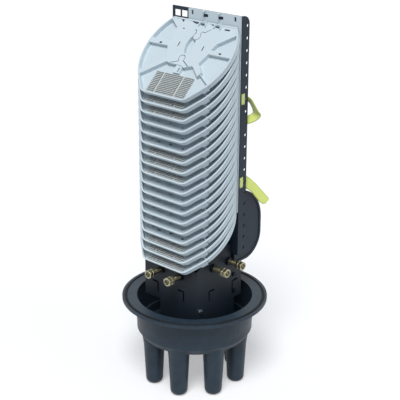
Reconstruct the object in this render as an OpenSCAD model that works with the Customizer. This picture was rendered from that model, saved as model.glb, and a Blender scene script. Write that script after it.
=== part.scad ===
// Dome splice closure with its dome lifted off.  A moulded base with closed cable ports carries
// a sheet metal frame, a back panel and a stack of hinged splice trays.
// The origin is the centre of the sealing rim's top face, +Z up, and the trays lean towards -Y.

/* [Base] */
// Outer diameter of the sealing rim
rim_d = 230; // [215:1:270]
// Thickness of the rim's outer edge
rim_t = 4; // [3:0.5:8]
// Diameter of the bowl's mouth
mouth_d = 183; // [175:1:195]
// Depth from the rim to the bowl's floor
bowl_depth = 60; // [52:1:80]
// Depth from the rim to the ledge inside the bowl
ledge_drop = 45; // [36:1:48]
// Wall of the bowl and its floor
base_wall = 4; // [3:0.25:5]
// Diameter of the seal's section
seal_d = 3.8; // [3:0.2:5]

/* [Cable ports] */
// Diameter of the ring of port axes
port_ring_d = 141; // [136:1:146]
// Outer diameter of a port at its root
port_d = 33; // [29:0.5:34]
// Outer diameter of a port at its closed tip
port_tip_d = 27.5; // [24:0.5:30]
// Depth of the port tips below the rim
port_drop = 143; // [120:1:190]
// Wall of a port
port_wall = 2.5; // [2:0.25:4]
// Radius of the rounded port tip
port_round = 9; // [5:1:12]

/* [Termination frame] */
// Width of the frame across its side walls
frame_w = 110; // [104:1:114]
// Distance from the axis to the frame's front wall
frame_front = 55; // [50:1:56]
// Distance from the axis to the frame's rear wall
frame_rear = 48; // [44:1:52]
// Thickness of the sheet metal
sheet_t = 2; // [1.5:0.1:2.4]
// Height of the frame's front wall above the rim
frame_top = 70; // [64:1:72]
// Diameter of a clamp stud
stud_d = 8; // [6:0.5:9]
// Length of a clamp stud outside its wall
stud_len = 31; // [24:1:36]
// Height of the front studs above the rim
stud_z = 54; // [50:1:56]

/* [Back panel] */
// Width of the panel
panel_w = 136; // [128:1:144]
// Height of the panel's top edge above the rim
panel_top = 446; // [440:1:480]
// Height of the panel's shoulders above the rim
panel_low = 78; // [76:1:86]
// Distance of the panel's front face behind the axis
panel_y = 23; // [20:0.5:26]
// Depth of the panel's side flanges
flange_w = 16.5; // [12:0.5:20]
// Height of the left flange's top above the rim
left_flange_top = 420; // [400:1:440]
// Pitch of the holes along the flanges
hole_pitch = 18.1; // [16:0.1:19]
// Diameter of the holes along the flanges
hole_d = 5; // [2.5:0.1:5.4]

/* [Splice trays] */
// Radius of a tray's round outline
tray_r = 82.4; // [76:0.2:86]
// Distance from a tray's centre to its straight front edge
tray_front = 76.4; // [74:0.1:78]
// Distance from a tray's centre to its hinge
tray_back = 52.4; // [50:0.1:54]
// Radius of a tray's front corners
tray_round = 16; // [12:0.5:20]
// Height of a tray's wall
tray_h = 8; // [6:0.25:8.5]
// Thickness of a tray's wall
tray_wall = 1.6; // [1.2:0.1:2]
// Thickness of a tray's floor
tray_floor = 1.4; // [1:0.1:1.8]
// Vertical pitch of the trays
tray_pitch = 15.66; // [15.2:0.02:17]
// Angle at which the trays hang
tray_tilt = 45; // [40:1:50]
// Height of the top tray's hinge above the rim
hinge_z = 428.6; // [420:0.1:430]
// Diameter of a tray's hinge pin
pin_d = 2.6; // [2:0.1:3]
// Radial clearance of the hinge pins in their clips
pin_gap = 0.06; // [0.03:0.01:0.1]
// Pitch of the slots in a splice holder
splice_pitch = 2.82; // [2.6:0.02:2.9]

/* [Loop basket] */
// Radius of the basket's round back
basket_r = 38.4; // [34:0.2:40]
// Height of the basket's floor above the rim
basket_z = 61.5; // [60:0.1:64]
// Height of the basket's top above the rim
basket_top = 175; // [168:1:184]
// Thickness of the basket's walls
basket_t = 2; // [1.5:0.1:3]

/* [Straps] */
// Width of the hook-and-loop straps
strap_w = 16; // [12:0.5:18]
// Thickness of the straps
strap_t = 1.8; // [1.4:0.1:2.2]
// Height of the upper strap above the rim
strap_high_z = 325; // [310:1:330]
// Height of the lower strap above the rim
strap_low_z = 196; // [190:1:210]

/* [Hidden] */

$fn = 64;
eps = 0.5;            // how far a cutter stands past the face that it opens
seat_gap = 0.3;       // gap between separate pieces that are set beside each other
tray_count = 18;
port_count = 8;

// Base
rim_r = rim_d / 2;
mouth_r = mouth_d / 2;
port_ring_r = port_ring_d / 2;
ledge_z = -ledge_drop;
ledge_w = 3;
neck_r = mouth_r - 3.5;          // inner radius just above the ledge
floor_r = neck_r - ledge_w - 2;  // inner radius at the floor
floor_z = -bowl_depth;
under_z = floor_z - base_wall;
flare = [[1.8, 62], [4.3, 50]];  // how much wider a port is, at these depths below the rim
flare_low = 75;
seal_r = rim_r - 5.8;            // radius of the seal's centre line
groove_w = seal_d + 0.4;
groove_h = seal_d * 0.66;
post_w = 10;                     // square posts that carry the frame's corners
post_top = 10;

// Termination frame
wall_x = frame_w / 2;
foot_w = 13;
skirt_z = ledge_z + 3;           // lower edge of the walls, above the port mouths
screw_d = 4;
screw_gap = 0.15;
screw_head_d = 7;
screw_head_h = 2.2;
corner_screw_z = 3.4;
wing_top = 95;
rear_top = basket_z - 2.3;
side_stud_z = stud_z + 12.5;
rear_stud_z = stud_z - 14;
stud_spread = 40;
side_spread = 36;
hook_spread = 54;
nut_w = 13;                      // across flats
nut_h = 5;
nut_chamfer = 1;
jam_h = 3;

// Back panel
panel_x = panel_w / 2;
panel_back = panel_y + sheet_t;
flange_y = panel_back + flange_w - sheet_t;   // rear edge of the flanges
hole_y = flange_y - 3.6;
slot_y = flange_y - 10.1;                     // front edge of the strap slots
slot_w = 3;
hole_count = floor((panel_top - panel_low - 14) / hole_pitch);
neck_x = wall_x - sheet_t - seat_gap;         // outer face of the ears inside the frame
ear_len = 10;
ear_y = panel_back + ear_len / 2;
neck_low = skirt_z + 10;
waist_x = neck_x - 10;                        // narrower past the side studs
neck_screws = [12, 40];
flange_round = 12;
window_w = 26;
window_h = 9.5;

// Tray rail and hinges
rail_t = 1.8;
rail_left = -34;
rail_right = panel_x - 1;
rail_front = panel_y - rail_t;
rail_low = hinge_z - tray_count * tray_pitch + 2;
hinge_x = [0, 29];
slot_x = [-26.2, 56.3];
axis_gap = 3.3;                   // from a hinge axis to the rail's front face
axis_y = rail_front - axis_gap;
clip_r = 2.3;
clip_w = 4;
lug_gap = 10;                     // between the two lugs that hold a pin
lug_w = 2;
lug_r = 2.3;
back_reach = 2.6;                 // a tray's back edge behind its hinge axis
corner_x = 35;                    // centres of the trays' front corners
deck = 1.2;                       // thickness of the hub's deck and walls
deck_drop = 0.5;                  // the deck's top below the rim's top
slit = 1;                         // width of the slits in the deck
foot_lift = 0.003;                // keeps a holder's foot just off the tray's floor
foot_h = tray_pitch * cos(tray_tilt) - tray_h - seat_gap;
holders = [1, 2, 3, 7, 8, 9, 16, 17, 18];

// The hub and its arms, in a tray's X and Y
hub_points = [
    [-45, 38], [-66, 52.4], [-52, 57.5], [-38.7, 48], [-38, 58], [60, 58], [72, 44.6], [43.5, 22],
    [39.5, 11], [86, 11], [86, 4], [39, 4], [31.5, -13.8], [44.5, -26.4], [41.6, -34.2], [23.4, -19.8],
    [16.3, -22.6], [10, -25.3], [1.6, -22.6], [-8.4, -22.3], [-22.4, -22.5], [-27, -20.5], [-66.5, -53],
    [-71.5, -45], [-32.5, -13], [-42, 5], [-86, 5], [-86, 14], [-42.8, 14]
];
// The thin rib that runs on from the short arm to the wall
rib_points = [[43, -29.5], [68, -44]];
rib_t = 1;
// Slots in the floors of the trays that have no holder
floor_slots = [[-31, -63], [-18, -65], [6, -64], [31, -66]];
// Slits round the front knob, then round the back knob
knobs = [[-3, -11, 5.5], [0.5, 29, 6.5]];
slits = [
    [[-6.2, -15.5], [-7.1, -16.9], [-11.1, -18.4], [-20.5, -21.6]],
    [[1.7, -13.9], [3.1, -14.9], [10.9, -19.3], [15.4, -22]],
    [[-3.9, 33.8], [-5.5, 35.5], [-5.3, 37.9], [-8.8, 39.6]],
    [[4.9, 33.8], [5.1, 35.5], [6.3, 37.7], [11.5, 37.1], [18.7, 43.6]]
];

// Loop basket
basket_x = panel_x - sheet_t - 6;
basket_y = panel_y + 25.2;        // axis of the round back
basket_axis_z = basket_z + basket_r;
crown_r = 58;                     // radius of the basket's upper back
crown_z = 121.5;
hammock_top = 120;
basket_rim = 3.5;                 // width of the band round the basket's cheeks
basket_rim_t = 1.2;

// Studs: [x, y, z, direction in degrees about Z]
studs = [
    for (s = [-1, 1]) [s * stud_spread / 2, -frame_front, stud_z, -90],
    for (s = [-1, 1]) [wall_x, s * side_spread / 2 - 1, side_stud_z, 0],
    for (s = [-1, 1]) [-wall_x, s * side_spread / 2 - 1, side_stud_z, 180],
    for (s = [-1, 1]) [s * stud_spread / 2, frame_rear, rear_stud_z, 90]
];

// Screws through the frame's walls: [x, y, z, direction in degrees about Z]
post_mid = sheet_t + seat_gap + post_w / 2;
screws = [
    [wall_x, -frame_front + post_mid, corner_screw_z, 0],
    [-wall_x, frame_rear - post_mid, corner_screw_z, 180]
];
ear_bolts = [
    for (z = neck_screws) [wall_x, ear_y, z, 0],
    for (z = neck_screws) [-wall_x, ear_y, z, 180]
];

// Rivets: [x, z] for the rail, then for the basket's tab
rail_rivets = [for (x = [-14, 43], z = [rail_low + 12, (rail_low + panel_top) / 2, panel_top - 24]) [x, z]];
basket_rivets = [for (x = [-32, 32]) [x, basket_z + 9]];
rivet_d = 4;
rivet_head_h = 1.8;

// Straps: each leg's start, its turns about X, Y and Z, then its length and width
upper_legs = [
    [[58.0, 46.3, 320.2], [147.7, 48.4, 16.8], 27.5, 16],
    [[72.4, 55.1, 297.9], [-66.5, 26.2, -126.9], 18.6, 14]
];
lower_legs = [
    [[61.1, 45.9, 189.4], [78.1, 43.3, 47.8], 45.1, 14]
];

// Places a child drawn along +X at a stud or screw
module at_wall(p) {
    translate([p[0], p[1], p[2]]) rotate([0, 0, p[3]]) children();
}

// A round bar along +X from x = a to x = b
module bar_x(a, b, d) {
    translate([a, 0, 0]) rotate([0, 90, 0]) cylinder(h = b - a, d = d);
}

// ---- Base ----

// The bowl's outside, in radius and Z
module bowl_section() {
    polygon([
        [0, 0], [rim_r, 0], [rim_r, -rim_t], [rim_r - 6, -rim_t - 4], [mouth_r + base_wall, -rim_t - 6],
        [neck_r + base_wall, ledge_z], [neck_r + base_wall, ledge_z - 9],
        [floor_r + base_wall, floor_z - 1.5], [floor_r + base_wall - 1.5, under_z], [0, under_z]
    ]);
}

// The room inside the bowl, in radius and Z
module bowl_room() {
    polygon([
        [0, floor_z], [floor_r - 2, floor_z], [floor_r, floor_z + 2], [neck_r - ledge_w, ledge_z],
        [neck_r, ledge_z], [mouth_r, -rim_t], [mouth_r, eps], [0, eps]
    ]);
}

// One port, closed at its tip, standing on the ring at angle 0.  It flares out into the bowl
module port_body() {
    tip_r = port_tip_d / 2;
    root_r = port_d / 2;
    translate([port_ring_r, 0, 0]) rotate_extrude() union() {
        polygon([
            [0, -port_drop], [tip_r - port_round, -port_drop], [tip_r - port_round, -port_drop + port_round],
            [tip_r, -port_drop + port_round], [root_r, -flare_low],
            for (f = flare) [root_r + f[0], -f[1]],
            [0, -flare[1][1]]
        ]);
        translate([tip_r - port_round, -port_drop + port_round]) intersection() {
            circle(r = port_round);
            translate([0, -port_round]) square(port_round);
        }
    }
}

module port_bore() {
    top_r = port_d / 2 - port_wall;
    translate([port_ring_r, 0, -port_drop + port_wall + 2])
        cylinder(h = port_drop - port_wall - 2 + floor_z + eps, r1 = port_tip_d / 2 - port_wall - 1, r2 = top_r);
}

module seal_groove() {
    translate([0, 0, -groove_h]) difference() {
        cylinder(h = groove_h + eps, r = seal_r + groove_w / 2, $fn = 120);
        translate([0, 0, -eps]) cylinder(h = groove_h + 3 * eps, r = seal_r - groove_w / 2, $fn = 120);
    }
}

// Square posts in the two corners where the frame stands
module corner_posts() {
    inset = sheet_t + seat_gap;
    translate([wall_x - inset - post_w, -frame_front + inset, floor_z - 1])
        cube([post_w, post_w, post_top - floor_z + 1]);
    translate([-wall_x + inset, frame_rear - inset - post_w, floor_z - 1])
        cube([post_w, post_w, post_top - floor_z + 1]);
}

module base() {
    color("darkslategray") difference() {
        union() {
            difference() {
                union() {
                    rotate_extrude($fn = 120) bowl_section();
                    for (i = [0 : port_count - 1]) rotate([0, 0, (i + 0.5) * 360 / port_count]) port_body();
                }
                rotate_extrude($fn = 120) bowl_room();
            }
            corner_posts();
        }
        for (i = [0 : port_count - 1]) rotate([0, 0, (i + 0.5) * 360 / port_count]) port_bore();
        seal_groove();
        for (s = screws) at_wall(s) bar_x(-sheet_t - seat_gap - 7, 0, screw_d + 2 * screw_gap);
    }
}

module rim_seal() {
    color("black") translate([0, 0, seal_d / 2 - groove_h])
        rotate_extrude($fn = 120) translate([seal_r, 0]) circle(d = seal_d, $fn = 24);
}

// ---- Termination frame ----

// An outline in X and Z, stood up with its outer face at y = 0 and its thickness towards +Y
module upright() {
    rotate([90, 0, 0]) translate([0, 0, -sheet_t]) linear_extrude(sheet_t) children();
}

// A hook slot: a vertical slot with an arm at its top, pointing to -X
module hook_slot() {
    translate([-1.5, 12]) square([3, 18]);
    translate([-12, 28]) square([12, 3]);
}

module wall_openings(spread, shift, z_stud) {
    for (s = [-1, 1]) {
        translate([s * hook_spread / 2, 0]) hook_slot();
        translate([s * spread / 2 + shift, z_stud]) circle(d = stud_d + 0.6);
    }
}

module front_wall() {
    difference() {
        polygon([
            [-wall_x, frame_top], [wall_x, frame_top], [wall_x, floor_z], [wall_x - foot_w, floor_z],
            [wall_x - foot_w, skirt_z], [-23, skirt_z], [-23, 2], [-wall_x, 2]
        ]);
        wall_openings(stud_spread, 0, stud_z);
    }
}

// The right wall in Y and Z.  The left wall is the same, with its foot at the rear corner
module right_wall() {
    difference() {
        polygon([
            [-frame_front, frame_top], [-frame_front + 30, wing_top], [panel_y - 0.6, wing_top],
            [panel_y - 0.6, rear_top], [frame_rear, rear_top], [frame_rear, 0], [20, 0], [20, skirt_z],
            [-frame_front + foot_w, skirt_z], [-frame_front + foot_w, floor_z], [-frame_front, floor_z]
        ]);
        mirror([1, 0]) wall_openings(side_spread, 1, side_stud_z);
    }
}

module left_wall() {
    difference() {
        polygon([
            [-frame_front, frame_top], [-frame_front + 30, wing_top], [panel_y - 0.6, wing_top],
            [panel_y - 0.6, rear_top], [frame_rear, rear_top], [frame_rear, floor_z],
            [frame_rear - foot_w, floor_z], [frame_rear - foot_w, skirt_z], [-20, skirt_z],
            [-20, 0], [-frame_front, 0]
        ]);
        mirror([1, 0]) wall_openings(side_spread, 1, side_stud_z);
    }
}

module rear_wall() {
    difference() {
        polygon([
            [-wall_x, rear_top], [wall_x, rear_top], [wall_x, 0], [23, 0], [23, skirt_z],
            [-wall_x + foot_w, skirt_z], [-wall_x + foot_w, floor_z], [-wall_x, floor_z]
        ]);
        mirror([1, 0]) wall_openings(stud_spread, 0, rear_stud_z);
    }
}

module termination_frame() {
    color("dimgray") difference() {
        union() {
            translate([0, -frame_front, 0]) upright() front_wall();
            translate([0, frame_rear - sheet_t, 0]) upright() rear_wall();
            translate([wall_x, 0, 0]) rotate([0, 0, 90]) upright() right_wall();
            translate([-wall_x + sheet_t, 0, 0]) rotate([0, 0, 90]) upright() left_wall();
        }
        for (s = concat(screws, ear_bolts)) at_wall(s) bar_x(-sheet_t - eps, eps, screw_d + 2 * screw_gap);
    }
}

module stud_rods() {
    color("goldenrod") for (s = studs) at_wall(s) bar_x(-sheet_t - nut_h - 2, stud_len, stud_d);
}

// A hexagon nut along +X from x = a, on a stud
module nut_x(a, h) {
    flat_r = nut_w / 2;
    corner_r = flat_r / cos(30);
    translate([a, 0, 0]) rotate([0, 90, 0]) difference() {
        intersection() {
            cylinder(h = h, r = corner_r, $fn = 6);
            rotate_extrude() polygon([
                [0, 0], [flat_r - 0.2, 0], [corner_r + 0.1, nut_chamfer],
                [corner_r + 0.1, h - nut_chamfer], [flat_r - 0.2, h], [0, h]
            ]);
        }
        translate([0, 0, -eps]) cylinder(h = h + 2 * eps, d = stud_d + 0.1);
    }
}

// The bright nuts on the studs' outer ends
module stud_nuts() {
    color("gold") for (s = studs) at_wall(s) {
        nut_x(stud_len - 2 * nut_h - 2.5, nut_h);
        nut_x(stud_len - nut_h - 1.5, nut_h);
    }
}

// The dark nuts that hold the studs in their walls
module jam_nuts() {
    color("black") for (s = studs) at_wall(s) {
        nut_x(-sheet_t - nut_h, nut_h);
        nut_x(0, jam_h);
    }
}

module wall_screw() {
    bar_x(0, screw_head_h, screw_head_d);
    bar_x(-sheet_t - seat_gap - 6, 0, screw_d);
}

module frame_screws() {
    color("silver") for (s = screws) at_wall(s) wall_screw();
}

module ear_screws() {
    color("black") for (s = ear_bolts) at_wall(s) wall_screw();
}

// ---- Back panel ----

// The panel's outline and windows, in X and Z
module panel_face() {
    difference() {
        union() {
            translate([-panel_x, panel_low]) square([panel_w, panel_top - panel_low]);
            translate([-neck_x, neck_low]) square([2 * neck_x, rear_top - neck_low]);
            translate([-waist_x, neck_low]) square([2 * waist_x, panel_low - neck_low + 1]);
        }
        for (z = [panel_top - 10 : -2 * hole_pitch : panel_low + 40]) panel_window(z);
        for (p = rail_rivets) translate(p) circle(d = rivet_d + 0.2);
        for (p = basket_rivets) translate(p) circle(d = rivet_d + 0.2);
        for (z = [-20 : 25 : 55]) translate([-20, z]) square([40, 12]);
    }
}

// A pair of windows in the panel's left margin
module panel_window(z) {
    half = (window_w - 1.6) / 2;
    for (x = [-panel_x + 4, -panel_x + 4 + half + 1.6]) translate([x, z - window_h / 2]) square([half, window_h]);
}

// A side flange in Y and Z, up to a height, with its row of holes and the strap slots
module flange_face(top) {
    difference() {
        union() {
            translate([panel_y, panel_low]) square([flange_y - panel_y, top - panel_low - flange_round]);
            intersection() {
                translate([flange_y - flange_round, top - flange_round]) circle(r = flange_round);
                translate([panel_y, panel_low]) square([flange_w, top - panel_low]);
            }
            translate([panel_y, panel_low]) square([flange_y - panel_y - flange_round, top - panel_low]);
        }
        for (i = [0 : hole_count]) translate([hole_y, panel_top - 14.4 - i * hole_pitch]) circle(d = hole_d);
        for (z = [strap_high_z, strap_low_z]) translate([slot_y, z - strap_w / 2 - 1]) square([slot_w, strap_w + 2]);
    }
}

// An ear that lies inside the frame's side wall
module neck_ear() {
    difference() {
        translate([panel_back - 1, neck_low]) square([ear_len + 1, panel_low - neck_low - 30]);
        for (z = neck_screws) translate([ear_y, z]) circle(d = screw_d + 2 * screw_gap);
        translate([panel_back - 2, rear_top]) square([ear_len + 3, panel_low]);
    }
}

module back_panel() {
    color("darkslategray") union() {
        translate([0, panel_y, 0]) upright() panel_face();
        translate([panel_x, 0, 0]) rotate([0, 0, 90]) upright() flange_face(panel_top);
        translate([-panel_x + sheet_t, 0, 0]) rotate([0, 0, 90]) upright() flange_face(left_flange_top);
        for (x = [neck_x, -neck_x + sheet_t]) translate([x, 0, 0]) rotate([0, 0, 90]) upright() neck_ear();
    }
}

// ---- Tray rail ----

// Height of hinge row i, where row 0 is the spare row above the top tray
function row_z(i) = hinge_z + tray_pitch - i * tray_pitch;

module rail_face() {
    difference() {
        translate([rail_left, rail_low]) square([rail_right - rail_left, panel_top - rail_low]);
        for (i = [0 : tray_count]) {
            for (x = hinge_x) translate([x - 4.8, row_z(i) - 7.6]) square([9.6, 4.6]);
            for (x = slot_x) translate([x - 1.9, row_z(i) - 7]) square([3.8, 6.4]);
        }
        for (p = rail_rivets) translate(p) circle(d = rivet_d + 0.2);
    }
}

// The column of open clips that hold the hinge pins, in Y and Z
module clip_column() {
    for (i = [0 : tray_count]) translate([axis_y, row_z(i)]) difference() {
        union() {
            circle(r = clip_r);
            translate([0, -clip_r]) square([axis_gap, 2 * clip_r]);
        }
        circle(d = pin_d + 2 * pin_gap, $fn = 32);
        translate([-2 * clip_r, -0.8]) square([2 * clip_r, 1.6]);
    }
}

module tray_rail() {
    color("lightsteelblue") union() {
        translate([0, rail_front + rail_t, 0]) rotate([90, 0, 0]) linear_extrude(rail_t) rail_face();
        for (x = hinge_x)
            translate([x - clip_w / 2, 0, 0]) rotate([90, 0, 90]) linear_extrude(clip_w) clip_column();
    }
}

// A rivet through a stack of sheets along +Z, with its domed head behind them
module rivet(stack) {
    dome_r = (rivet_d * rivet_d + rivet_head_h * rivet_head_h) / (2 * rivet_head_h);
    cylinder(h = stack, d = rivet_d);
    intersection() {
        translate([0, 0, stack + rivet_head_h - dome_r]) sphere(r = dome_r);
        translate([0, 0, stack]) cylinder(h = rivet_head_h + eps, r = dome_r);
    }
}

module panel_rivets() {
    color("silver") {
        for (p = rail_rivets) translate([p[0], rail_front, p[1]]) rotate([-90, 0, 0]) rivet(rail_t + sheet_t);
        for (p = basket_rivets) translate([p[0], panel_y, p[1]]) rotate([-90, 0, 0]) rivet(sheet_t + basket_t);
    }
}

// ---- Loop basket ----

// The basket's outline in Y and Z, drawn in by a distance, from the panel at y = front
module basket_outline(inset, front) {
    back_y = basket_y + basket_r - inset;
    low_z = basket_z + inset;
    intersection() {
        translate([basket_y, basket_axis_z]) circle(r = basket_r - inset, $fn = 96);
        translate([front, low_z]) square([2 * basket_r, basket_axis_z - low_z]);
    }
    translate([front, low_z]) square([basket_y - front, basket_axis_z - low_z]);
    translate([front, basket_axis_z]) square([back_y - front, crown_z - basket_axis_z]);
    intersection() {
        translate([basket_y + basket_r - crown_r, crown_z]) circle(r = crown_r - inset, $fn = 120);
        translate([front, crown_z]) square([2 * basket_r, basket_top - inset - crown_z]);
    }
}

// The floor and round back, open above, in Y and Z
module hammock_face() {
    difference() {
        basket_outline(0, panel_back);
        basket_outline(basket_t, panel_back + basket_t);
        translate([panel_back - eps, basket_z + 16]) square([basket_t + 2 * eps, basket_top]);
        translate([panel_back - eps, hammock_top]) square(2 * basket_r);
    }
}

// A cheek along +X from the basket's inside, with a thicker band round its edge
module cheek() {
    front = panel_back + seat_gap;
    rotate([90, 0, 90]) {
        linear_extrude(basket_t) basket_outline(0, front);
        linear_extrude(basket_t + basket_rim_t) difference() {
            basket_outline(0, front);
            basket_outline(basket_rim, front);
        }
    }
}

module loop_basket() {
    color("darkslategray") union() {
        difference() {
            translate([-basket_x, 0, 0]) rotate([90, 0, 90]) linear_extrude(2 * basket_x) hammock_face();
            for (p = basket_rivets) translate([p[0], panel_y, p[1]]) rotate([-90, 0, 0])
                cylinder(h = sheet_t + basket_t + eps, d = rivet_d + 0.2);
        }
        for (s = [0, 1]) mirror([s, 0, 0]) translate([basket_x - basket_t, 0, 0]) cheek();
    }
}

// ---- Straps ----

// A strap's anchored end: a pad outside the flange, a run through the slot, one along its inside
// and the fold behind the flange's rear edge
module strap_anchor() {
    pad_front = panel_y + 1;
    run_x = panel_x - sheet_t - seat_gap;
    run_y = slot_y + 0.6;
    translate([panel_x + seat_gap, pad_front, -strap_w / 2]) cube([strap_t, run_y + strap_t - pad_front, strap_w]);
    translate([run_x - strap_t, run_y, -strap_w / 2]) cube([sheet_t + 2 * seat_gap + 2 * strap_t, strap_t, strap_w]);
    translate([run_x - strap_t, run_y, -strap_w / 2]) cube([strap_t, flange_y + 5 - slot_y, strap_w]);
    translate([run_x - 2.2 * strap_t, flange_y + 1.5, -strap_w / 2]) cube([2.2 * strap_t, 4, strap_w]);
}

// One flat leg of a strap
module strap_leg(p) {
    translate(p[0]) rotate(p[1]) translate([0, -p[3] / 2, -strap_t / 2]) cube([p[2], p[3], strap_t]);
}

module strap_upper() {
    color("yellowgreen") union() {
        translate([0, 0, strap_high_z]) strap_anchor();
        for (p = upper_legs) strap_leg(p);
    }
}

module strap_lower() {
    color("yellowgreen") union() {
        translate([0, 0, strap_low_z]) strap_anchor();
        for (p = lower_legs) strap_leg(p);
    }
}

// ---- Splice trays ----

// Puts a child drawn in a tray's own frame in its place on the rail.  The tray's frame has its
// origin at the outline's centre in the plane of the rim's top, +Y back to the hinge, +Z out of it
module at_tray(i) {
    translate([0, axis_y, row_z(i)]) rotate([tray_tilt, 0, 0]) translate([0, -tray_back, 0]) children();
}

// The tray's outline, drawn in by a distance: a circle that runs on straight into the front corners
module tray_outline(inset) {
    corner_r = tray_round - inset;
    corner_y = tray_round - tray_front;
    turn = atan2(corner_y, corner_x) + acos((tray_r - tray_round) / norm([corner_x, corner_y]));
    side = [
        (tray_r - inset) * [cos(turn), sin(turn)],
        [corner_x, corner_y] + corner_r * [cos(turn), sin(turn)],
        [corner_x, corner_y - corner_r]
    ];
    intersection() {
        union() {
            circle(r = tray_r - inset, $fn = 120);
            for (s = [-1, 1]) translate([s * corner_x, corner_y]) circle(r = corner_r);
            polygon([
                side[0], side[1], side[2],
                [-side[2][0], side[2][1]], [-side[1][0], side[1][1]], [-side[0][0], side[0][1]]
            ]);
        }
        translate([-tray_r, -tray_front + inset])
            square([2 * tray_r, tray_front + tray_back + back_reach - 2 * inset]);
    }
}

// Everything behind the upright plane that clears the rail
module back_clearance() {
    translate([-tray_r - 1, tray_back + back_reach, 0]) rotate([-tray_tilt, 0, 0])
        translate([0, 0, -4 * tray_h]) cube([2 * tray_r + 2, 8 * tray_h, 8 * tray_h]);
}

// A straight bar from one point to the next along a row of points
module bars(points, w) {
    for (i = [0 : len(points) - 2]) {
        d = points[i + 1] - points[i];
        translate(points[i]) rotate(atan2(d[1], d[0])) translate([-w / 2, -w / 2]) square([norm(d) + w, w]);
    }
}

// The raised hub and its arms, without the lens and the scallops along the back
module hub_outline() {
    difference() {
        polygon(hub_points);
        hub_lens(0);
        translate([-12, 69]) circle(r = 20);
        translate([25, 74.5]) circle(r = 25);
    }
}

// The lens in the hub, widened by a distance.  The back knob reaches into it
module hub_lens(grow) {
    difference() {
        translate([-3, 15]) lens(18 + grow, 7 + grow);
        translate([knobs[1][0], knobs[1][1]]) circle(r = knobs[1][2] - grow);
    }
}

// The hub's upright walls under its edge
module hub_walls() {
    intersection() {
        hub_outline();
        union() {
            bars(concat(hub_points, [hub_points[0]]), 2 * deck);
            hub_lens(deck);
        }
    }
}

// The slits in the deck: two knobs with their necks, that key its halves into each other
module deck_slits() {
    difference() {
        for (k = knobs) translate([k[0], k[1]]) difference() {
            circle(r = k[2] + slit / 2);
            circle(r = k[2] - slit / 2);
        }
        polygon([[-3, -11], [-11, -22], [12, -17]]);
        polygon([[0.5, 29], [12, 40], [-11, 40]]);
    }
    for (p = slits) bars(p, slit);
    for (s = [-1, 1]) translate([s * 23.5 - 1, 7]) square([2, 8]);
    translate([-33, 37]) square([3.6, 1.6]);
    translate([42, 46.5]) square([10, 2.4]);
    for (x = [-60.5, 55.5]) translate([x, 6.5]) square([5, 2.6]);
}

// A pointed oval opening with its long axis along Y
module lens(half_len, half_w) {
    r = (half_len * half_len + half_w * half_w) / (2 * half_w);
    intersection_for (s = [-1, 1]) translate([s * (r - half_w), 0]) circle(r = r, $fn = 96);
}

// The clip that closes the splice bay, behind the holder
module bay_clip() {
    difference() {
        translate([-6, -35.5, tray_floor - tray_h - 0.1]) cube([12, 13, tray_h - tray_floor - 1.5]);
        translate([1, -33.5, -tray_h]) cube([2.4, 7, tray_h]);
    }
}

// The feet under a tray's wall, and the openings beside them
module tray_feet() {
    intersection() {
        translate([0, 0, -tray_h - foot_h]) linear_extrude(foot_h + tray_floor) difference() {
            tray_outline(0.8);
            tray_outline(0.8 + tray_wall + 1);
        }
        for (s = [0, 1]) mirror([s, 0, 0]) translate([60, -54, -2 * tray_h]) cube([12, 8.5, 2 * tray_h]);
    }
}

module tray(has_holder) {
    union() {
        difference() {
            union() {
                translate([0, 0, -tray_h]) linear_extrude(tray_floor) tray_outline(0.8);
                translate([0, 0, -tray_h]) linear_extrude(tray_h) difference() {
                    tray_outline(0.8);
                    tray_outline(0.8 + tray_wall);
                }
                translate([0, 0, -1.6]) linear_extrude(1.6) difference() {
                    tray_outline(0);
                    tray_outline(0.8 + tray_wall / 2);
                }
                intersection() {
                    union() {
                        translate([0, 0, -tray_h + 0.5]) linear_extrude(tray_h - 1) hub_walls();
                        translate([0, 0, -deck_drop - deck]) linear_extrude(deck) hub_outline();
                        translate([0, 0, -tray_h + 0.5]) linear_extrude(tray_h - 2) bars(rib_points, rib_t);
                    }
                    translate([0, 0, -tray_h]) linear_extrude(tray_h) tray_outline(1.5);
                }
                bay_clip();
            }
            back_clearance();
            translate([0, 0, -deck_drop - deck - eps]) linear_extrude(3 * eps + deck) deck_slits();
            for (s = [0, 1]) mirror([s, 0, 0]) translate([64, -45, -tray_h + tray_floor]) cube([12, 2.6, 4]);
            if (!has_holder) for (p = floor_slots) translate([p[0] - 3, p[1] - 1.2, -tray_h - eps])
                cube([6, 2.4, 2 * eps + tray_floor]);
            for (x = hinge_x) translate([x - lug_gap / 2, tray_back - 4.5, -tray_h - eps])
                cube([lug_gap, 12, tray_h + 2 * eps]);
        }
        tray_feet();
        for (x = hinge_x) hinge_lugs(x);
    }
}

// Two lugs with the pin between them
module hinge_lugs(x) {
    for (s = [-1, 1]) translate([x + s * (lug_gap / 2 + lug_w / 2) - lug_w / 2, tray_back, 0]) rotate([90, 0, 90])
        linear_extrude(lug_w) union() {
            circle(r = lug_r);
            translate([-6, -3.5]) square([6, 3.5 + lug_r]);
        }
    translate([x, tray_back, 0]) bar_x(-lug_gap / 2 - 0.1, lug_gap / 2 + 0.1, pin_d, $fn = 32);
}

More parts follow.
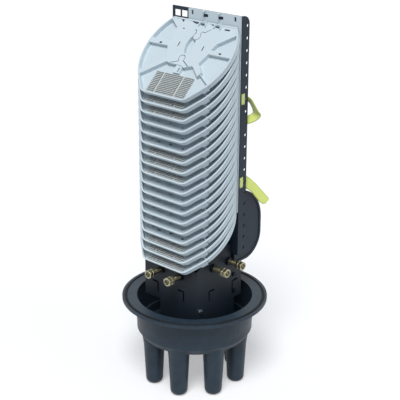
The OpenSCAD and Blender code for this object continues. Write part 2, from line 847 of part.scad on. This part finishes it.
// The splice holder: three rows of ridges across the bay, with two bars over them
module splice_holder() {
    low = tray_floor - tray_h + foot_lift;
    half_w = 36.5;
    y0 = -72.5;
    ridge = 0.9;
    count = 12;
    depth = count * splice_pitch + ridge;
    intersection() {
        union() {
            translate([-half_w, y0, low]) cube([2 * half_w, depth, 1]);
            for (i = [0 : count], x = [[-half_w, -22], [-18.5, 16.5], [20, half_w]])
                translate([x[0], y0 + i * splice_pitch, low]) cube([x[1] - x[0], ridge, 4.4]);
            for (x = [-21.3, 17.3]) translate([x, y0, low]) cube([2, depth, 3.4]);
        }
        translate([0, 0, -tray_h]) linear_extrude(tray_h) tray_outline(0.8 + tray_wall + seat_gap);
    }
}

module place_tray(i) {
    color("lightsteelblue") at_tray(i) tray(len(search(i, holders)) > 0);
}

module place_holder(i) {
    color("lightgray") at_tray(i) splice_holder();
}

base();
rim_seal();
termination_frame();
stud_rods();
stud_nuts();
jam_nuts();
frame_screws();
ear_screws();
back_panel();
tray_rail();
panel_rivets();
loop_basket();
strap_upper();
strap_lower();
place_tray(1);  // tray_01
place_tray(2);  // tray_02
place_tray(3);  // tray_03
place_tray(4);  // tray_04
place_tray(5);  // tray_05
place_tray(6);  // tray_06
place_tray(7);  // tray_07
place_tray(8);  // tray_08
place_tray(9);  // tray_09
place_tray(10);  // tray_10
place_tray(11);  // tray_11
place_tray(12);  // tray_12
place_tray(13);  // tray_13
place_tray(14);  // tray_14
place_tray(15);  // tray_15
place_tray(16);  // tray_16
place_tray(17);  // tray_17
place_tray(18);  // tray_18
place_holder(1);  // splice_holder_01
place_holder(2);  // splice_holder_02
place_holder(3);  // splice_holder_03
place_holder(7);  // splice_holder_07
place_holder(8);  // splice_holder_08
place_holder(9);  // splice_holder_09
place_holder(16);  // splice_holder_16
place_holder(17);  // splice_holder_17
place_holder(18);  // splice_holder_18
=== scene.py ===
# %% [markdown]
# # A dome splice closure, opened
# A fibre cable enters the black base through a closed port, is clamped to the sheet metal frame that
# stands in the bowl, and its fibres are spliced in the stack of hinged trays. The dome that covers
# all this is off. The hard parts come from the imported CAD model, which stays as it is. This script
# gives them their finishes and adds what CAD leaves plain: the studs' threads and the two straps.

# %% Load the frame
import math

import bpy
import numpy as np
from mathutils import Matrix, Vector


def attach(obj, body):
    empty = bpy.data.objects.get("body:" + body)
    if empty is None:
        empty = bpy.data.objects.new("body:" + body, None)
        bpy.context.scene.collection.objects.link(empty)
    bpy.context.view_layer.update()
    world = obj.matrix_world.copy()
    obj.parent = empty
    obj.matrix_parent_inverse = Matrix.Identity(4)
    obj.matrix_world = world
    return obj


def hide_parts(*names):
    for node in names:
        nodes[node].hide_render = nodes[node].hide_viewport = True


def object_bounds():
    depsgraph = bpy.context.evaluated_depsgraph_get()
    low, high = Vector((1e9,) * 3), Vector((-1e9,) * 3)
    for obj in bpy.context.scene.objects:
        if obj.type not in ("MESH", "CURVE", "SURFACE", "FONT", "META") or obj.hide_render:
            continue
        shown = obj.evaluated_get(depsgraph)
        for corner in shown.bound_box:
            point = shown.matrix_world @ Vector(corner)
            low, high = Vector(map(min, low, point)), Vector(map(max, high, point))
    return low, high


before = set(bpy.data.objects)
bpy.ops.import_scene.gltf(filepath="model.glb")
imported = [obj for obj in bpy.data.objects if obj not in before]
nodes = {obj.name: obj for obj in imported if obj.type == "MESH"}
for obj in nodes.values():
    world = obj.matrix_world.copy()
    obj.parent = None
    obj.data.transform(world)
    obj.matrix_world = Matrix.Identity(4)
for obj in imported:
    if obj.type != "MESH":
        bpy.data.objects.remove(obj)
cad_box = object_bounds()
MM = 0.001
print(len(nodes), "CAD nodes, box", [tuple(round(v, 4) for v in corner) for corner in cad_box])

# %% [markdown]
# ## Three helpers
# A colour is written as the eye names it, an sRGB hex code, and the renderer wants linear light, so
# one function converts it. One function adds a shader node with its settings and links. One makes a
# mesh from arrays, because every new piece here is a surface worked out as a grid of points.

# %% Helpers
def linear(code):
    """sRGB to linear: c / 12.92 when dark, or else (c + 0.055) / 1.055 to the power 2.4."""
    c = np.array([int(code[i:i + 2], 16) / 255 for i in (1, 3, 5)])
    c = np.where(c <= 0.04045, c / 12.92, ((c + 0.055) / 1.055) ** 2.4)
    return (*c.tolist(), 1.0)


def add(tree, kind, inputs=None, **settings):
    """Adds one node. settings are its properties; inputs are values, or sockets to link from."""
    made = tree.nodes.new("ShaderNode" + kind)
    for name, value in settings.items():
        setattr(made, name, value)
    for name, value in (inputs or {}).items():
        if isinstance(value, bpy.types.NodeSocket):
            tree.links.new(value, made.inputs[name])
        else:
            made.inputs[name].default_value = value
    return made


def mesh_piece(name, points, faces, smooth=True):
    """An object at the origin whose mesh holds these points and faces."""
    mesh = bpy.data.meshes.new(name)
    mesh.from_pydata(np.asarray(points, float).tolist(), [], [[int(i) for i in face] for face in faces])
    mesh.polygons.foreach_set("use_smooth", np.full(len(mesh.polygons), smooth))
    mesh.update()
    made = bpy.data.objects.new(name, mesh)
    bpy.context.scene.collection.objects.link(made)
    print(name, len(points), "points", len(faces), "faces")
    return made


def grid_faces(rows, columns, around=False):
    """Quads of a grid of points in row order. With around, the last column joins the first."""
    i, j = np.meshgrid(np.arange(rows - 1), np.arange(columns - (not around)), indexing="ij")
    a, b = i * columns + j, i * columns + (j + 1) % columns
    return np.stack([a, b, b + columns, a + columns], -1).reshape(-1, 4)


# %% [markdown]
# ## The finishes
# Most of the closure is injection moulded plastic. A mould's spark-eroded face leaves a fine grain,
# the melt's flow leaves faint clouds, and no moulded edge is sharp. So one recipe serves every
# plastic here: clouds in the colour, grain in the roughness and bump, and a Bevel node that rounds
# what light does at an edge. The real grain is about 0.1 mm; it is drawn coarser, so that it shows.

# %% Plastics
def surface(name, colour, roughness, spread=0.06, grain=1.2, depth=0.05, edge=0.4, gloss=0.5, cloud=35):
    """A moulded or coated surface. grain and cloud are the sizes of the fine and the slow
    texture and edge is the rounding, all in mm. gloss is the strength of the mirrored light, 0.5 for a plain plastic."""
    made = bpy.data.materials.new(name)
    made.use_nodes = True
    tree = made.node_tree
    shader = tree.nodes["Principled BSDF"]
    shader.inputs["Specular IOR Level"].default_value = gloss
    place = add(tree, "TexCoord").outputs["Object"]
    clouds = add(tree, "TexNoise", {"Vector": place, "Scale": 1 / (cloud * MM), "Detail": 4.0})
    pale = [min(1.0, v * (1 + spread)) for v in linear(colour)[:3]] + [1.0]
    deep = [v * (1 - spread) for v in linear(colour)[:3]] + [1.0]
    tint = add(tree, "Mix", {0: clouds.outputs["Fac"], 6: deep, 7: pale}, data_type="RGBA")
    tree.links.new(tint.outputs[2], shader.inputs["Base Color"])
    fine = add(tree, "TexNoise", {"Vector": place, "Scale": 1 / (grain * MM), "Detail": 2.0})
    rough = add(tree, "MapRange", {
        "Value": fine.outputs["Fac"], "From Min": 0.3, "From Max": 0.7,
        "To Min": roughness * 0.88, "To Max": roughness * 1.12})
    tree.links.new(rough.outputs["Result"], shader.inputs["Roughness"])
    rounded = add(tree, "Bevel", {"Radius": edge * MM}, samples=4)
    bump = add(tree, "Bump", {
        "Height": fine.outputs["Fac"], "Distance": 0.1 * MM, "Strength": depth,
        "Normal": rounded.outputs["Normal"]})
    tree.links.new(bump.outputs["Normal"], shader.inputs["Normal"])
    return made, shader


# Black polypropylene of the base: slightly waxy, with a soft sheen
base_plastic, base_shader = surface(
    "polypropylene_black", "#25333F", 0.45, spread=0.45, depth=0.35, edge=0.8, gloss=0.3, cloud=16)
base_shader.inputs["IOR"].default_value = 1.49
# Silicone rubber of the rim seal: matt, a little dusty
seal_rubber, _ = surface("silicone_rubber_black", "#0E1216", 0.62, depth=0.1, gloss=0.2)
# Powder coat on the folded sheet: orange peel about 1 mm across
frame_coat, _ = surface(
    "powder_coat_charcoal", "#151E27", 0.5, grain=1.4, depth=0.2, edge=0.5, gloss=0.3)
# Black ABS of the panel and basket
panel_plastic, _ = surface("abs_black", "#172430", 0.45, depth=0.08, edge=0.5, gloss=0.3)
# Blue-grey ABS of the trays: satin, opaque, with soft clouds from the melt
tray_plastic, _ = surface("abs_blue_grey", "#C3D0D7", 0.44, spread=0.04, depth=0.05, edge=0.35)
# Pale grey ABS of the splice holders: a softer grade, a shade warmer than the trays
holder_plastic, _ = surface("abs_pale_grey", "#C6CACA", 0.4, spread=0.04, depth=0.05, edge=0.25)
print("plastics made:", len(bpy.data.materials))

# %% [markdown]
# ## Metals
# The studs and nuts are turned brass: a warm metal with fine lathe rings round its axis, dulled by
# handling. The small screws and rivets are zinc plated steel, which is cool, pale and a little
# cloudy. A metal's colour is its reflection, so the shader is fully metallic, and the tarnish is a
# slow noise that takes the roughness up and the colour down.

# %% Metals
def metal(name, bright, dull, roughness, patch=6.0):
    """A metal whose colour and roughness drift between bright and dull in patches of so many mm."""
    made = bpy.data.materials.new(name)
    made.use_nodes = True
    tree = made.node_tree
    shader = tree.nodes["Principled BSDF"]
    shader.inputs["Metallic"].default_value = 1.0
    place = add(tree, "TexCoord").outputs["Object"]
    tarnish = add(tree, "TexNoise", {"Vector": place, "Scale": 1 / (patch * MM), "Detail": 5.0})
    tint = add(tree, "Mix", {0: tarnish.outputs["Fac"], 6: linear(bright), 7: linear(dull)}, data_type="RGBA")
    tree.links.new(tint.outputs[2], shader.inputs["Base Color"])
    rough = add(tree, "MapRange", {
        "Value": tarnish.outputs["Fac"], "From Min": 0.3, "From Max": 0.7,
        "To Min": roughness * 0.7, "To Max": roughness * 1.4})
    tree.links.new(rough.outputs["Result"], shader.inputs["Roughness"])
    rounded = add(tree, "Bevel", {"Radius": 0.3 * MM}, samples=4)
    fine = add(tree, "TexNoise", {"Vector": place, "Scale": 1 / (0.5 * MM), "Detail": 2.0})
    bump = add(tree, "Bump", {
        "Height": fine.outputs["Fac"], "Distance": 0.05 * MM, "Strength": 0.2,
        "Normal": rounded.outputs["Normal"]})
    tree.links.new(bump.outputs["Normal"], shader.inputs["Normal"])
    return made


# Turned brass of the nuts: pale, with brown patches where hands have dulled it
brass = metal("brass_turned", "#CDC6A8", "#6E6A50", 0.3)
# The same brass on the rods, painted darker than on the nuts: painted shade on the rods
rod_brass_painted_shade = metal("brass_rod_painted_shade", "#77725A", "#3B3A2E", 0.4)
# Zinc plate: cool and pale, a little cloudy
zinc = metal("steel_zinc_plated", "#D4D7DA", "#9EA3A8", 0.34)
# Black oxide on the jam nuts and the panel's screws: near black, with a steel sheen
black_steel = metal("steel_black_oxide", "#2A3038", "#15181C", 0.42)
print("metals made")

# %% Give each CAD node its finish
FINISH = {
    "base": base_plastic, "rim_seal": seal_rubber, "termination_frame": frame_coat,
    "stud_rods": rod_brass_painted_shade, "stud_nuts": brass, "jam_nuts": black_steel, "frame_screws": zinc,
    "ear_screws": black_steel, "back_panel": panel_plastic,
    "tray_rail": tray_plastic, "panel_rivets": zinc, "loop_basket": panel_plastic,
    "strap": panel_plastic, "tray": tray_plastic, "splice_holder": holder_plastic,
}
for name, piece in nodes.items():
    key = name if name in FINISH else name.rsplit("_", 1)[0]
    piece.data.materials.clear()
    piece.data.materials.append(FINISH[key])
print("finished", len(nodes), "nodes")

# %% [markdown]
# ## Threaded studs
# Each clamp stud is a length of M8 brass rod. Its thread could be a screw modifier on a profile, but
# a cylinder whose radius rises and falls along a helix is one formula, closes at both ends and has
# faces of even size. The CAD rods tell where the eight studs stand; they are hidden behind these.

# %% Studs
STUD_D, PITCH, THREAD_DEPTH = 8 * MM, 1.25 * MM, 0.61 * MM
STUD_IN, STUD_OUT = 9 * MM, 31 * MM
# Foot of each stud on its wall, and its direction out of it, in degrees about Z
STUDS = [(s * 20, -55, 54, -90) for s in (-1, 1)]
STUDS += [(55, s * 18 - 1, 66.5, 0) for s in (-1, 1)]
STUDS += [(-55, s * 18 - 1, 66.5, 180) for s in (-1, 1)]
STUDS += [(s * 20, 48, 40, 90) for s in (-1, 1)]


def threaded_rod(rows_per_turn=5, columns=20):
    """A rod along +X. Its radius falls from the crest by a triangle wave of x / pitch - angle / turn,
    fades to the root at the ends, and a fan of faces round a centre point closes each end."""
    length = STUD_IN + STUD_OUT
    rows = int(length / PITCH * rows_per_turn)
    x = np.linspace(-STUD_IN, STUD_OUT, rows)[:, None]
    angle = np.linspace(0, 2 * math.pi, columns, endpoint=False)[None, :]
    wave = np.abs(((x / PITCH - angle / (2 * math.pi)) % 1.0) * 2 - 1)
    radius = STUD_D / 2 - THREAD_DEPTH * (1 - np.clip(wave * 1.3, 0, 1))
    end = np.minimum(x + STUD_IN, STUD_OUT - x)
    radius = np.minimum(radius, STUD_D / 2 - THREAD_DEPTH + end)
    ring = np.stack([x + 0 * radius, radius * np.cos(angle), radius * np.sin(angle)], -1).reshape(-1, 3)
    caps = np.array([[-STUD_IN, 0, 0], [STUD_OUT, 0, 0]])
    around = np.arange(columns)
    following = (around + 1) % columns
    last = (rows - 1) * columns
    n = len(ring)
    lids = [[n, b, a] for a, b in zip(around, following)]
    lids += [[n + 1, last + a, last + b] for a, b in zip(around, following)]
    faces = grid_faces(rows, columns, around=True)[:, ::-1]
    return np.concatenate([ring, caps]), faces, lids


rod_points, rod_faces, rod_lids = threaded_rod()
all_points, all_faces = [], []
for x, y, z, turn in STUDS:
    place = Matrix.Translation(Vector((x, y, z)) * MM) @ Matrix.Rotation(math.radians(turn), 4, "Z")
    place = np.array(place)
    start = sum(len(p) for p in all_points)
    all_points.append(rod_points @ place[:3, :3].T + place[:3, 3])
    all_faces += (rod_faces + start).tolist() + (np.array(rod_lids) + start).tolist()
studs = mesh_piece("threaded_studs", np.concatenate(all_points), all_faces)
# the rods' brass is the nuts' brass painted darker, as painted shade
studs.data.materials.append(rod_brass_painted_shade)
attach(studs, "root")
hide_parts("stud_rods")

# %% [markdown]
# ## Hook-and-loop straps
# Two soft straps are threaded through slots in the panel's right flange. Each lies flat outside the
# flange, dips through its slot, comes out behind and hangs free. A strap keeps its width and bends
# only along its length, so it is drawn as a ribbon between two edge curves. Every key below is a
# pair of points in millimetres, one on each edge, and a Catmull-Rom curve runs through each row.

# %% Ribbons
def ribbon(name, keys, thickness=1.4, steps=8, across=9):
    """Catmull-Rom curves run through both rows of keys; the sheet between them is thickened by half
    its thickness to each side along its normal, the cross product of its two directions. The
    attribute edge is 0 along the middle and 1 along both selvedges."""
    keys = np.array(keys, float)
    ends = np.concatenate([2 * keys[:1] - keys[1:2], keys, 2 * keys[-1:] - keys[-2:-1]])
    t = np.linspace(0, 1, steps, endpoint=False)[:, None, None]
    rows = []
    for a, b, c, d in zip(ends, ends[1:], ends[2:], ends[3:]):
        cubic = 2 * b + (c - a) * t + (2 * a - 5 * b + 4 * c - d) * t**2 + (3 * b - a - 3 * c + d) * t**3
        rows.append(cubic / 2)
    path = np.concatenate(rows + [keys[-1:]])
    share = np.linspace(0, 1, across)[None, :, None]
    sheet = path[:, :1] * (1 - share) + path[:, 1:] * share
    normal = np.cross(np.gradient(sheet, axis=0), np.gradient(sheet, axis=1))
    normal *= thickness / 2 / np.linalg.norm(normal, axis=-1, keepdims=True)
    # the two faces form one closed loop round the strap; the loop's ends are closed by one face each
    loops = np.concatenate([sheet + normal, (sheet - normal)[:, ::-1]], axis=1)
    count, around = loops.shape[:2]
    faces = grid_faces(count, around, around=True).tolist()
    faces += [list(range(around))[::-1], list(range((count - 1) * around, count * around))]
    made = mesh_piece(name, loops.reshape(-1, 3) * MM, faces)
    edge = np.abs(share[0, :, 0] * 2 - 1)
    made.data.attributes.new("edge", "FLOAT", "POINT").data.foreach_set(
        "value", np.tile(np.concatenate([edge, edge[::-1]]), count))
    length = np.linalg.norm(np.diff(path.mean(axis=1), axis=0), axis=1).sum()
    print(name, "length", round(float(length), 1), "mm")
    return made


def threaded(z_high, z_low):
    """The run that both straps share, from the pad outside the flange to behind its rear edge."""
    run = [(69.05, 24), (69.05, 26.5), (69.05, 29), (68.4, 30.6), (67, 31), (65.6, 31.4), (64.9, 33), (64.8, 37)]
    return [((x, y, z_high), (x, y, z_low)) for x, y in run]


UPPER = threaded(333, 317) + [
    ((64.2, 41.5, 331), (60.5, 45, 317)),
    ((61.6, 42.3, 325.8), (53.5, 51.3, 318.3)), ((68.0, 46.2, 322.1), (60.3, 53.3, 313.0)),
    ((74.1, 48.4, 312.9), (64.7, 54.0, 306.5)), ((78.5, 50.8, 304.3), (66.1, 54.2, 301.7)),
    ((81.2, 54.2, 297.7), (65.9, 54.0, 298.8)), ((77.0, 52.7, 290.8), (64.3, 53.1, 297.1)),
    ((71.0, 47.6, 285.9), (62.4, 50.5, 295.4)), ((62.7, 41.5, 282.8), (58.5, 46.1, 293.8)),
    ((57.2, 40.0, 281.3), (53.2, 44.3, 291.0)),
]
LOWER = threaded(204, 188) + [
    ((63.6, 42.5, 203), (64.2, 41.5, 186)),
    ((59.3, 49.5, 199.4), (63.5, 44.0, 181.2)), ((62.8, 53.6, 195.6), (65.9, 47.7, 178.7)),
    ((68.4, 59.2, 188.4), (69.4, 52.6, 173.7)), ((74.7, 64.7, 179.5), (73.5, 56.7, 165.9)),
    ((80.4, 69.7, 170.8), (77.8, 61.0, 158.4)), ((84.8, 73.2, 164.2), (81.0, 65.0, 154.9)),
    ((85.8, 73.5, 160.2), (83.4, 68.6, 154.8)),
]

# Yellow-green nylon loop tape: matt and fuzzy, a shade paler on its nap, with a tighter woven edge
fabric, fabric_shader = surface(
    "nylon_loop_yellow_green", "#CCD676", 0.85, spread=0.12, grain=0.9, depth=1.0, edge=0.4)
fabric_shader.inputs["Sheen Weight"].default_value = 0.6
fabric_shader.inputs["Sheen Roughness"].default_value = 0.5
tree = fabric.node_tree
nap_colour = fabric_shader.inputs["Base Color"].links[0].from_socket
selvedge = add(tree, "MapRange", {
    "Value": add(tree, "Attribute", attribute_name="edge").outputs["Fac"], "From Min": 0.78, "From Max": 0.9,
    "To Min": 0.0, "To Max": 1.0})
woven = add(tree, "Mix", {0: selvedge.outputs["Result"], 6: nap_colour, 7: linear("#B3BE5C")}, data_type="RGBA")
tree.links.new(woven.outputs[2], fabric_shader.inputs["Base Color"])

for name, keys, node, length, held in (
        ("loop_strap_upper", UPPER, "strap_upper", 0.105, "folded"),
        ("loop_strap_lower", LOWER, "strap_lower", 0.08, "hung")):
    strap = ribbon(name, keys)
    strap.data.materials.append(fabric)
    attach(strap, "root")
    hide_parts(node)

# %% [markdown]
# ## Studio
# Plain soft light on a pale floor: a broad key from above and in front, a weak fill from the right
# and a white surround. The floor shows near white and keeps the object's soft shadow.

# %% Floor
def seen_or_mirrored(tree):
    """1 for the rays that look straight at a surface, or see it in a mirror or through glass."""
    path = add(tree, "LightPath")
    mirrored = add(tree, "Math", {
        0: path.outputs["Is Glossy Ray"], 1: path.outputs["Is Transmission Ray"]}, operation="MAXIMUM")
    return add(tree, "Math", {
        0: path.outputs["Is Camera Ray"], 1: mirrored.outputs[0]}, operation="MAXIMUM").outputs[0]


FLOOR_Z = cad_box[0].z
floor = mesh_piece("floor", [(-6, -6, FLOOR_Z), (6, -6, FLOOR_Z), (6, 6, FLOOR_Z), (-6, 6, FLOOR_Z)], [(0, 1, 2, 3)])
paper = bpy.data.materials.new("studio_paper_white")
paper.use_nodes = True
tree = paper.node_tree
paper_shader = tree.nodes["Principled BSDF"]
paper_shader.inputs["Base Color"].default_value = linear("#C9CACC")
paper_shader.inputs["Roughness"].default_value = 0.9
seen = seen_or_mirrored(tree)
glow = add(tree, "Emission", {"Color": (1, 1, 1, 1), "Strength": 0.4})
both = add(tree, "AddShader", {0: paper_shader.outputs["BSDF"], 1: glow.outputs["Emission"]})
pick = add(tree, "MixShader", {0: seen, 1: paper_shader.outputs["BSDF"], 2: both.outputs["Shader"]})
tree.links.new(pick.outputs["Shader"], tree.nodes["Material Output"].inputs["Surface"])
floor.data.materials.append(paper)

# %% World and lamps
world = bpy.data.worlds.new("studio")
world.use_nodes = True
bpy.context.scene.world = world
tree = world.node_tree
sky = tree.nodes["Background"]
sky.inputs["Color"].default_value = linear("#DCE9F5")
sky.inputs["Strength"].default_value = 0.3
white = add(tree, "Background", {"Color": (1, 1, 1, 1), "Strength": 1.0})
pick = add(tree, "MixShader", {
    0: seen_or_mirrored(tree), 1: sky.outputs["Background"], 2: white.outputs["Background"]})
tree.links.new(pick.outputs["Shader"], tree.nodes["World Output"].inputs["Surface"])


def sun(name, towards, spread, strength):
    """A lamp at the far end of the direction towards. A wide spread, in degrees, is a soft box."""
    data = bpy.data.lights.new(name, "SUN")
    data.angle, data.energy = math.radians(spread), strength
    made = bpy.data.objects.new(name, data)
    made.rotation_euler = Vector(towards).to_track_quat("Z", "Y").to_euler()
    bpy.context.scene.collection.objects.link(made)


sun("key_above", (0.3, -0.45, 0.85), 26, 2.8)
sun("fill_right", (0.9, 0.1, 0.4), 40, 0.4)
print("studio lit")

# %% [markdown]
# ## Camera
# A long lens from the front right, a little above: about 42 degrees round and 21 degrees up. The
# three axes of the camera are written out, so its small roll is kept.

# %% Camera
camera = bpy.data.objects.new("camera", bpy.data.cameras.new("camera"))
camera.data.lens, camera.data.sensor_width = 91.1, 36.0
right, up = Vector((0.740875, 0.671617, 0.00594)), Vector((-0.243282, 0.260106, 0.93443))
back = right.cross(up)
turned = Matrix((right, up, back)).transposed().to_4x4()
camera.matrix_world = Matrix.Translation((0.97985, -1.07443, 0.71218)) @ turned
bpy.context.scene.collection.objects.link(camera)
bpy.context.scene.camera = camera
bpy.context.scene.view_settings.view_transform = "Standard"
